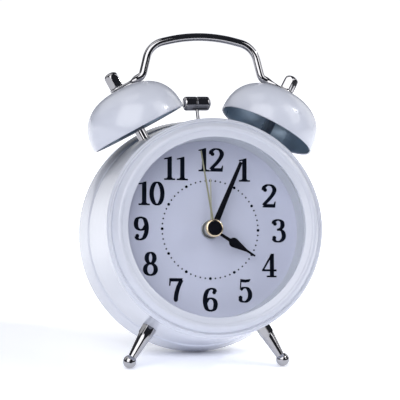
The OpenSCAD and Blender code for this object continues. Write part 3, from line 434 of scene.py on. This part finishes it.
# Hands: stamped from thin sheet and pressed on the nested tubes of the arbor. Hour and minute hands
# are lacquered black and the alarm hand is painted a pale gilt. The second hand is a khaki needle
# behind a gilt disc, which carries a black button.
lacquer = material(
    "black_lacquer", (0.003, 0.003, 0.005), (0.006, 0.006, 0.009), 4, (0.28, 0.38), 0.003,
    Specular_IOR_Level=0.06,
)
gilt = material("gilt_plate", (0.82, 0.64, 0.42), (0.9, 0.72, 0.5), 2, (0.12, 0.2), 0.002, Metallic=1.0)
khaki = material("khaki_paint", (0.24, 0.23, 0.15), (0.3, 0.285, 0.19), 2, (0.35, 0.45), 0.003)
pale_gilt = material("pale_gilt_paint", (0.46, 0.44, 0.36), (0.54, 0.51, 0.42), 2, (0.35, 0.45), 0.003)
dress(lacquer, "hour_hand", "minute_hand", bevel=0.12)
dress(pale_gilt, "alarm_hand", bevel=0.05)
disc_r, disc_t, disc_round, disc_bore = 4.4, 1.6, 0.95, 0.55
needle_len, needle_tail, needle_root, needle_tip = 38, 3, 0.5, 0.3
needle_set, needle_t, needle_second = 1.2, 0.5, 58.5
disc_front = reach("second_hand")[0].y
disc_side = [(disc_bore, disc_front)]
disc_side += arc((disc_r - disc_round, disc_front + disc_round), disc_round, -90, 0, 8)
disc_side += [(disc_r, disc_front + disc_t), (disc_bore, disc_front + disc_t)]
second_points, second_faces = turned(disc_side, 72)
needle_outline = [(-needle_root, -needle_tail), (needle_root, -needle_tail)]
needle_outline += [(needle_tip, needle_len), (-needle_tip, needle_len)]
needle_turn = radians(6 * needle_second)
first = len(second_points)
for y in (disc_front + needle_set, disc_front + needle_set + needle_t):
    for aside, along in needle_outline:
        turned_x = along * sin(needle_turn) + aside * cos(needle_turn)
        second_points.append((turned_x, y, along * cos(needle_turn) - aside * sin(needle_turn)))
second_faces += [range(first, first + 4), range(first + 4, first + 8)]
second_faces += [(first + k, first + (k + 1) % 4, first + (k + 1) % 4 + 4, first + k + 4) for k in range(4)]
second = piece("second_hand_gilt", second_points, second_faces, gilt, "second", "gold_paint", "second_hand")
second.data.materials.append(khaki)
for face in second.data.polygons:
    middle = CLOCK.inverted() @ face.center
    if hypot(middle.x, middle.z) > disc_r:
        face.material_index = 1
dress(lacquer, "hub_button", bevel=0.12)


# Bells: two domes pressed from sheet steel, enamelled white outside and a darker blue grey inside, each
# held on a chromed post by a cap nut. The posts are bolted through the drum.
bell_r, bell_h, bell_power = 24.8, 21.4, 2.45
bell_tilt = radians(28)
bell_middle = Vector((32.45, mid_y, 50.94))
bell_top_hole = 2.0


def dome(radius, height, steps=26):
    """Points of (radius, height) from a bell's rim to its top, fuller than a circle."""
    turns = [pi / 2 * i / steps for i in range(steps + 1)]
    fuller = 2 / bell_power
    return [(radius * max(0, cos(t)) ** fuller, height * sin(t) ** fuller) for t in turns]


def bell_frame(side):
    """Frame of a bell, with Y along its axis from the middle of its rim."""
    middle = Vector((side * bell_middle.x, bell_middle.y, bell_middle.z))
    return (
        CLOCK
        @ Matrix.Translation(middle)
        @ Matrix.Rotation(side * bell_tilt, 4, "Y")
        @ Matrix.Rotation(pi / 2, 4, "X")
    )


bell_skin = [point for point in dome(bell_r, bell_h) if point[0] > bell_top_hole] + [(bell_top_hole, bell_h)]
bell_lining = [point for point in dome(bell_r - SHEET, bell_h - SHEET) if point[0] > bell_top_hole]
bell_lining = [(bell_top_hole, bell_h - SHEET)] + bell_lining[::-1]
bell_rim = arc((bell_r - SHEET / 2, 0), SHEET / 2, 180, 360, 6)[1:-1]
bell_profile = bell_skin + bell_lining + bell_rim
inner_blue_grey = material("blue_grey_lining", (0.27, 0.36, 0.46), (0.31, 0.4, 0.5), 6, (0.24, 0.34), 0.006, Metallic=0.4)
for side, where in ((-1, "left"), (1, "right")):
    stand = bell_frame(side)
    bell = piece(
        f"bell_dome_{where}", *turned(bell_profile, 160), enamel, "case", "white_enamel", f"bell_{where}",
        place=stand,
    )
    bell.data.materials.append(inner_blue_grey)
    for face in bell.data.polygons:
        middle = stand.inverted() @ face.center
        facing = stand.inverted().to_3x3() @ face.normal
        if middle.y > SHEET and facing.dot(middle) < 0:
            face.material_index = 1
chrome = material("chrome", (0.36, 0.355, 0.37), (0.42, 0.415, 0.43), 5, (0.04, 0.09), 0.001, Metallic=1.0)
dress(chrome, "bell_post_left", "bell_post_right")


# Handle: a chromed steel rod bent to an arch, with both ends hammered flat and bored. The flat ends
# lie on the bells under the cap nuts.
bar_r, strip_half, strip_half_t, strip_len, strip_tail = 2.0, 3.5, 0.6, 14.3, 3.8
shoulder_x, shoulder_rise, crown_rise, seat_gap = 26.3, 22.9, 6.6, 0.05
flat_share, round_share, flat_power, blunt_end = 0.45, 0.8, 0.45, 0.12
along = Vector((sin(bell_tilt), cos(bell_tilt)))
across = Vector((-cos(bell_tilt), sin(bell_tilt)))
strip_mid = Vector((bell_middle.x, bell_middle.z)) + along * (bell_h + strip_half_t + seat_gap)
shoulder = Vector((shoulder_x, bell_middle.z + bell_h * cos(bell_tilt) + shoulder_rise))
crown = Vector((0, shoulder.y + crown_rise))
corners = [strip_mid - across * strip_tail, strip_mid + across * strip_len, shoulder, crown]
corners += [Vector((-corner.x, corner.y)) for corner in corners[-2::-1]]
strip_bend, shoulder_bend, crown_bend = 4, 11, 70
bends = [0, strip_bend, shoulder_bend, crown_bend, shoulder_bend, strip_bend, 0]


def bent_path(corners, bends, steps=14):
    """Points of a path with its corners rounded by the bends' radii."""
    path = [corners[0]]
    for before, corner, after, bend in zip(corners, corners[1:], corners[2:], bends[1:]):
        come, go = (corner - before).normalized(), (after - corner).normalized()
        swing = acos(max(-1, min(1, come.dot(go))))
        cut = bend * tan(swing / 2)
        inward = (go - come).normalized()
        centre = corner + inward * bend / cos(swing / 2)
        start = corner - come * cut - centre
        sense = 1 if come.cross(go) > 0 else -1
        for i in range(steps + 1):
            turn = sense * swing * i / steps
            path.append(centre + Matrix.Rotation(turn, 2) @ start)
    return path + [corners[-1]]


def resampled(path, gap):
    """Points along a path no further apart than a gap."""
    points = []
    for start, end in zip(path, path[1:]):
        count = max(1, round((end - start).length / gap))
        points += [start.lerp(end, i / count) for i in range(count)]
    return points + [path[-1]]


handle_path = resampled(bent_path(corners, bends), gap=1.0)
handle_sides = 28
handle_points, handle_faces = [], []
lengths = [0]
for start, end in zip(handle_path, handle_path[1:]):
    lengths.append(lengths[-1] + (end - start).length)
flat_end, round_start = strip_tail + strip_len * flat_share, strip_tail + strip_len * round_share
for i, point in enumerate(handle_path):
    run = (handle_path[min(i + 1, len(handle_path) - 1)] - handle_path[max(i - 1, 0)]).normalized()
    normal = Vector((-run.y, run.x))
    from_end = min(lengths[i], lengths[-1] - lengths[i])
    blend = min(1, max(0, (from_end - flat_end) / (round_start - flat_end)))
    blend = blend * blend * (3 - 2 * blend)
    half_wide = strip_half + (bar_r - strip_half) * blend
    half_thick = strip_half_t + (bar_r - strip_half_t) * blend
    if from_end < strip_half:
        half_wide *= max(blunt_end, 1 - (1 - from_end / strip_half) ** 2) ** 0.5
    power = flat_power + (1 - flat_power) * blend
    for k in range(handle_sides):
        turn = 2 * pi * k / handle_sides
        wide = half_wide * abs(cos(turn)) ** power * (1 if cos(turn) > 0 else -1)
        thick = half_thick * abs(sin(turn)) ** power * (1 if sin(turn) > 0 else -1)
        handle_points.append((point.x + normal.x * thick, mid_y + wide, point.y + normal.y * thick))
for i in range(len(handle_path) - 1):
    for k in range(handle_sides):
        here, there = i * handle_sides, (i + 1) * handle_sides
        ahead = (k + 1) % handle_sides
        handle_faces.append((here + k, there + k, there + ahead, here + ahead))
handle_faces.append(range(handle_sides - 1, -1, -1))
handle_faces.append(range(len(handle_points) - handle_sides, len(handle_points)))
piece("carrying_handle", handle_points, handle_faces, chrome, "case", "chrome", "handle", crease=50)


# Cap nuts: turned and chromed hexagon nuts with a domed end, which clamp the handle and the bell on
# each post. The dome cuts the hexagon's corners in scallops.
cap_af, cap_h, cap_seat = 6.6, 8.0, bell_h + 2 * (strip_half_t + seat_gap)
cap_straight, cap_dome, chamfer_in, chamfer_up, corner_slack = 0.5, 0.45, 0.5, 0.4, 0.05


def hexagonal(width):
    """Radius limit of a hexagon of a width across flats, for turned()."""

    def limit(radius, turn):
        flat = radians(degrees(turn) % 60 - 30)
        return min(radius, width / 2 / cos(flat))

    return limit


cap_corner = cap_af / 2 / cos(radians(30))
cap_side = [(0, cap_seat), (cap_corner - chamfer_in, cap_seat)]
cap_side += [(cap_corner + corner_slack, cap_seat + up) for up in (chamfer_up, cap_h * cap_straight)]
cap_side += [(r, cap_seat + cap_h * (1 - cap_dome) + h) for r, h in dome(cap_corner, cap_h * cap_dome, 16)]
for side, where, twist in ((-1, "left", 12), (1, "right", 30)):
    stand = bell_frame(side) @ Matrix.Rotation(radians(twist), 4, "Y")
    piece(
        f"cap_nut_dome_{where}", *turned(cap_side, 96, hexagonal(cap_af)), chrome, "case", "chrome",
        f"cap_nut_{where}", place=stand, crease=28, bevel=0.2,
    )


# Hammer: a turned and chromed double-ended head with a fine groove round its middle, fixed level on a
# chromed wire rod with a thicker root. It swings between the bells on an arm inside the drum.
head_r, head_len, head_straight, head_round_at, head_round = 3.5, 13.8, 1.8, 1.7, 1.4
head_tip_share, head_level = 0.55, radians(1)
groove_deep, groove_half, groove_edge = 0.25, 0.15, 0.4
pivot = CLOCK.inverted() @ Vector(joints["hammer_swing"]["pos_m"])
head_middle = sum(reach("hammer_head"), Vector()) / 2
swing_rest = atan2(pivot.x - head_middle.x, head_middle.z - pivot.z)
head_reach = hypot(pivot.x - head_middle.x, head_middle.z - pivot.z)
head_half = [(head_r - groove_deep, groove_half), (head_r, groove_edge)]
head_half += [(head_r, head_len / 2 - head_straight)]
head_half += arc((head_r - head_round, head_len / 2 - head_round_at), head_round, 0, 60, 5)
head_half += [(head_r * head_tip_share, head_len / 2), (0, head_len / 2)]
head_profile = [(r, -y) for r, y in head_half[::-1]] + head_half
ARM = CLOCK @ Matrix.Translation((pivot.x, mid_y, pivot.z)) @ Matrix.Rotation(-swing_rest, 4, "Y")
HEAD = (
    ARM
    @ Matrix.Translation((0, 0, head_reach))
    @ Matrix.Rotation(swing_rest - head_level, 4, "Y")
    @ Matrix.Rotation(-pi / 2, 4, "Z")
)
piece(
    "hammer_striker", *turned(head_profile, 72), chrome, "hammer", "chrome", "hammer_head",
    place=HEAD, crease=20,
)
rod_r, rod_root_r, rod_root, rod_taper = 0.85, 1.1, 6.0, 2.0
ROD = ARM @ Matrix.Rotation(pi / 2, 4, "X")
rod_ends = [(ROD.inverted() @ vertex.co).y for vertex in nodes["hammer_rod"].data.vertices]
rod_low, rod_high = min(rod_ends), max(rod_ends)
rod_side = [(0, rod_low), (rod_root_r, rod_low), (rod_root_r, rod_low + rod_root)]
rod_side += [(rod_r, rod_low + rod_root + rod_taper), (rod_r, rod_high), (0, rod_high)]
piece("hammer_wire", *turned(rod_side, 32), chrome, "hammer", "chrome", "hammer_rod", place=ROD)


# Feet: turned and chromed, each a hexagon that runs into a cone and ends in a ball with a small flat
# where it stands. Their studs are bolted through the drum.
foot_af, foot_hex, shank_r, ankle_r, ball_r = 6.4, 4.5, 3.3, 2.1, 3.3
foot_chamfer, foot_sunk, foot_len, cone_steps = 0.4, 0.6, 19.5, 14
foot_angle = radians(31.2)
foot_start = drum_radius(mid_y)
ball_far = foot_start + foot_len
foot_corner = foot_af / 2 / cos(radians(30))
ball_from = degrees(acos(ankle_r / ball_r))
foot_side = [(0, foot_start - foot_sunk), (foot_corner + corner_slack, foot_start - foot_sunk)]
foot_side += [(foot_corner + corner_slack, foot_start + foot_hex)]
cone_end = (ankle_r, ball_far - ball_r * sin(radians(ball_from)))
cone_start = (shank_r, foot_start + foot_hex + foot_chamfer)
foot_side += [
    (cone_start[0] + (cone_end[0] - cone_start[0]) * t, cone_start[1] + (cone_end[1] - cone_start[1]) * t)
    for t in [i / cone_steps for i in range(cone_steps + 1)]
]
foot_side += arc((0, ball_far), ball_r, -ball_from, 90, 20)[1:]
for side, where, twist in ((-1, "left", 0), (1, "right", 28)):
    FOOT = (
        CLOCK
        @ Matrix.Translation((0, mid_y, 0))
        @ Matrix.Rotation(side * (pi - foot_angle), 4, "Y")
        @ Matrix.Rotation(pi / 2, 4, "X")
    )
    foot = piece(
        f"turned_foot_{where}", *turned(foot_side, 96, hexagonal(foot_af)), chrome, "case", "chrome",
        f"foot_{where}", place=FOOT @ Matrix.Rotation(radians(twist), 4, "Y"), crease=28, bevel=0.2,
    )
    for vertex in foot.data.vertices:
        vertex.co.z = max(vertex.co.z, 0)


# Back: a moulded white cover with the battery bay, closed by a ribbed door. Two ribbed knobs set the
# time and the alarm, a slide switch silences the bells, and three steel screws with cross recesses
# hold the cover.
black_plastic = material("black_plastic", (0.02, 0.02, 0.023), (0.035, 0.035, 0.04), 3, (0.42, 0.56), 0.02)
cover_white = material("cover_white", (0.53, 0.54, 0.57), (0.57, 0.58, 0.61), 6, (0.36, 0.46), 0.015)
dress(cover_white, "rear_cover", bevel=0.08)
dress(cover_white, "battery_door", bevel=0.25)
dress(black_plastic, "time_knob", "alarm_knob", "alarm_switch", bevel=0.2)

screw_r, screw_head_r, screw_head_h, screw_head_round = 1.2, 2.4, 1.4, 0.7
cross_half, cross_reach, cross_deep, cross_taper = 0.3, 1.25, 0.8, 0.6
screw_low, screw_high = reach("cover_screws")
screw_ring = -screw_low.z - screw_head_r


def cross_head(sides=32):
    """Points and faces of a pan-head screw along Y, with a tapered cross recess in its head."""
    top = screw_high.y
    profile = [(screw_r, screw_low.y), (screw_r, top - screw_head_h), (screw_head_r, top - screw_head_h)]
    profile += arc((screw_head_r - screw_head_round, top - screw_head_round), screw_head_round, 0, 90, 6)
    points, faces = turned(profile, sides)
    n = len(profile)
    faces = [face for i, face in enumerate(faces) if i % n < n - 1]
    faces.append([i * n for i in range(sides)])
    rim = [i * n + n - 1 for i in range(sides)]
    quarter, first, corners_in_cross = sides // 4, len(points), 12
    for share, y in ((1, top), (cross_taper, top - cross_deep)):
        for turn in (0, pi / 2, pi, 3 * pi / 2):
            for x, z in ((cross_reach, cross_half), (cross_half, cross_half), (cross_half, cross_reach)):
                turned_x, turned_z = x * cos(turn) - z * sin(turn), x * sin(turn) + z * cos(turn)
                points.append((share * turned_x, y, share * turned_z))
    for arm in range(4):
        end, corner, next_end = [first + 3 * arm + k for k in range(3)]
        other_end = first + (3 * arm - 1) % corners_in_cross
        faces.append([end] + [rim[arm * quarter + k] for k in range(1, quarter)] + [next_end, corner])
        faces.append([other_end] + [rim[arm * quarter + k] for k in (-1, 0, 1)] + [end])
    bottom = first + corners_in_cross
    for k in range(corners_in_cross):
        ahead = (k + 1) % corners_in_cross
        faces.append((first + k, first + ahead, bottom + ahead, bottom + k))
    faces.append(range(bottom, bottom + corners_in_cross))
    return points, faces


# Each screw has a place on the cover's ring and a turn of its cross, in degrees.
screw_points, screw_faces = [], []
for place, twist in ((35, 10), (145, 50), (270, 75)):
    stand = Matrix.Rotation(radians(-place), 4, "Y") @ Matrix.Translation((screw_ring, 0, 0))
    head_points, head_faces = cross_head()
    screw_faces += [[len(screw_points) + k for k in face] for face in head_faces]
    screw_points += [stand @ Matrix.Rotation(radians(twist), 4, "Y") @ Vector(point) for point in head_points]
piece("pan_head_screws", screw_points, screw_faces, steel, "case", "steel", "cover_screws", crease=30)


# Works: the quartz movement, the cell and its contacts, and the alarm's motor, crank and arm, all
# shut inside the drum. Brass wheels and moulded ones turn between two moulded plates.
brass = material("brass", (0.55, 0.42, 0.18), (0.68, 0.54, 0.27), 3, (0.2, 0.36), 0.003, Metallic=1.0)
grey_plastic = material("grey_plastic", (0.28, 0.29, 0.31), (0.36, 0.37, 0.39), 4, (0.45, 0.6), 0.02)
green_board = material("green_board", (0.02, 0.12, 0.05), (0.04, 0.19, 0.09), 2, (0.35, 0.5), 0.01)
copper = material("copper_wire", (0.42, 0.17, 0.07), (0.58, 0.27, 0.12), 0.8, (0.25, 0.4), 0.02, Metallic=0.9)
jacket = material("cell_jacket", (0.2, 0.22, 0.26), (0.3, 0.32, 0.36), 5, (0.25, 0.35), 0.004, Metallic=0.6)
dress(
    brass, "second_wheel", "third_wheel", "centre_wheel", "motion_wheel", "hour_wheel", "alarm_wheel",
    "alarm_set_stem", "motor_pinion", "battery_contact_plus", "battery_contact_minus",
)
dress(grey_plastic, "movement_front", "movement_back", "idler_wheel", "rotor", "crank_wheel")
dress(
    steel, "cover_pillars", "post_nuts", "foot_nuts", "movement_screws", "stator", "hammer_bracket",
    "bracket_screws", "hammer_pivot", "hammer_arm", "alarm_motor",
)
dress(green_board, "circuit_board")
dress(chrome, "quartz_crystal")
dress(copper, "coil")
dress(jacket, "battery_cell", bevel=0.4)


# Stage: a white table whose glow is painted light. It glows brightest behind and to the right, where it
# paints over the clock's cast shadow, and far off. It glows more dimly in front and to the left, and hardly
# at all in a small spot round the drum's rear contact, which is a painted contact shadow. It stands before a
# white backdrop in a dim studio with softboxes, all with their sizes in metres. The clock is seen from in
# front, a little to the left and a little above.
floor_half, floor_front, floor_back, floor_z = 4.0, -0.45, 8.0, -0.0002
floor_mesh = bpy.data.meshes.new("floor")
floor_corners = [(-floor_half, floor_front), (floor_half, floor_front)]
floor_corners += [(floor_half, floor_back), (-floor_half, floor_back)]
rear_contact = min((vertex.co.z, vertex.co.y) for vertex in drum.data.vertices)[1]
floor_mesh.from_pydata([(x, y - rear_contact, floor_z) for x, y in floor_corners], [], [(0, 1, 2, 3)])
floor = bpy.data.objects.new("floor", floor_mesh)
floor.location.y = rear_contact
bpy.context.collection.objects.link(floor)
# The table's emission is painted light, not a lamp.
painted_glow_table = material(
    "painted_glow_table", (0.86, 0.87, 0.89), (0.88, 0.89, 0.91), 60, (0.6, 0.7), 0.02, Emission_Strength=1.0
)
glow_wire = Wire(painted_glow_table.node_tree)
shade_stretch, shade_side = (0.6, 1.8, 1), (0.6, 0.8, 0)
contact_shadow_from, contact_shadow_to, shade_from, shade_to, open_from, open_to = 0.003, 0.02, -0.002, 0.058, 0.4, 1.0
# Glow colours, all painted light: nearly black for the painted contact shadow, dimmer in front and to the
# left, bright elsewhere.
painted_contact_shadow, shade_glow, table_glow = (0.02, 0.02, 0.03), (0.38, 0.39, 0.43), (0.96, 0.97, 1)


def rising(value, low, high):
    """Wire that rises from 0 to 1 while a value goes from low to high."""
    return glow_wire.node("ShaderNodeMapRange", {}, {"Value": value, "From Min": low, "From Max": high})


spot = glow_wire.node("ShaderNodeTexCoord", {}, {}, "Object")
long_spot = glow_wire.node("ShaderNodeVectorMath", {"operation": "MULTIPLY"}, {0: spot, 1: shade_stretch})
far = glow_wire.node("ShaderNodeVectorMath", {"operation": "LENGTH"}, {0: long_spot}, "Value")
aside = glow_wire.node(
    "ShaderNodeVectorMath", {"operation": "DOT_PRODUCT"}, {0: spot, 1: shade_side}, "Value"
)
# Mask of the painted light: it rises behind and to the right, where it paints over the clock's cast shadow,
# and far off.
painted_light_mask = glow_wire.maths("MAXIMUM", rising(aside, shade_from, shade_to), rising(far, open_from, open_to))
spread = glow_wire.between(painted_light_mask, shade_glow, table_glow)
# The glow falls to almost black close round the rear contact: a painted contact shadow.
glow = glow_wire.between(rising(far, contact_shadow_from, contact_shadow_to), painted_contact_shadow, spread)
table_shader = painted_glow_table.node_tree.nodes["Principled BSDF"]
painted_glow_table.node_tree.links.new(glow.socket, table_shader.inputs["Emission Color"])
floor_mesh.materials.append(painted_glow_table)

scene = bpy.context.scene
scene.view_settings.view_transform = "Standard"
world = bpy.data.worlds.new("studio")
world.use_nodes = True
scene.world = world
sky = Wire(world.node_tree)
direction = sky.node("ShaderNodeTexCoord", {}, {}, "Generated")
depth = sky.node("ShaderNodeSeparateXYZ", {}, {"Vector": direction}, "Y")
studio_dark, studio_light = (0.35, (0.03, 0.032, 0.04)), (0.9, (0.06, 0.064, 0.075))
shade = sky.node("ShaderNodeValToRGB", {"stops": [studio_dark, studio_light]}, {"Fac": depth * 0.5 + 0.5})
seen = sky.node("ShaderNodeLightPath", {}, {}, "Is Camera Ray")
backdrop = sky.between(seen, shade, (1, 1, 1))
world.node_tree.links.new(backdrop.socket, world.node_tree.nodes["Background"].inputs["Color"])

aim = Vector((0, 0, 0.08))
for name, place, wide, high, watts in (
    ("key", (-0.52, -0.75, 0.72), 1.1, 1.2, 11.2),
    ("right", (0.72, -0.4, 0.68), 0.45, 0.8, 2.8),
    ("top", (-0.35, 0.1, 1.05), 0.5, 0.5, 1.0),
    ("rim_left", (-0.6, 0.72, 0.8), 1.0, 0.8, 1.7),
    ("rim_right", (0.8, 0.45, 0.4), 0.8, 0.6, 1.6),
    ("spark", (0.79, -0.16, 0.71), 0.04, 0.04, 1.6),
):
    lamp = bpy.data.lights.new(name, "AREA")
    lamp.shape = "RECTANGLE"
    lamp.size, lamp.size_y = wide, high
    lamp.energy = watts
    made = bpy.data.objects.new(name, lamp)
    made.location = place
    made.rotation_euler = (aim - Vector(place)).to_track_quat("-Z", "Y").to_euler()
    bpy.context.collection.objects.link(made)

camera_turn, camera_rise, camera_roll = radians(-12.49), radians(-4.76), radians(-0.95)
camera_far = 901.0
camera_aim = Vector((0, 19.6, 5))
back = Vector((sin(camera_turn) * cos(camera_rise), -cos(camera_turn) * cos(camera_rise), sin(camera_rise)))
right = Vector((cos(camera_turn), sin(camera_turn), 0))
up = back.cross(right)
level_right = right * cos(camera_roll) + up * sin(camera_roll)
level_up = up * cos(camera_roll) - right * sin(camera_roll)
view = Matrix((level_right, level_up, back)).transposed()
lens = bpy.data.cameras.new("camera")
lens.lens, lens.sensor_width = 166.2, 36.0
lens.shift_x, lens.shift_y = -0.024, 0.049
lens.clip_end = 50
camera = bpy.data.objects.new("camera", lens)
bpy.context.collection.objects.link(camera)
turn_only = CLOCK.to_3x3().normalized()
camera_place = CLOCK @ (camera_aim + back * camera_far)
camera.matrix_world = Matrix.Translation(camera_place) @ (turn_only @ view).to_4x4()
scene.camera = camera
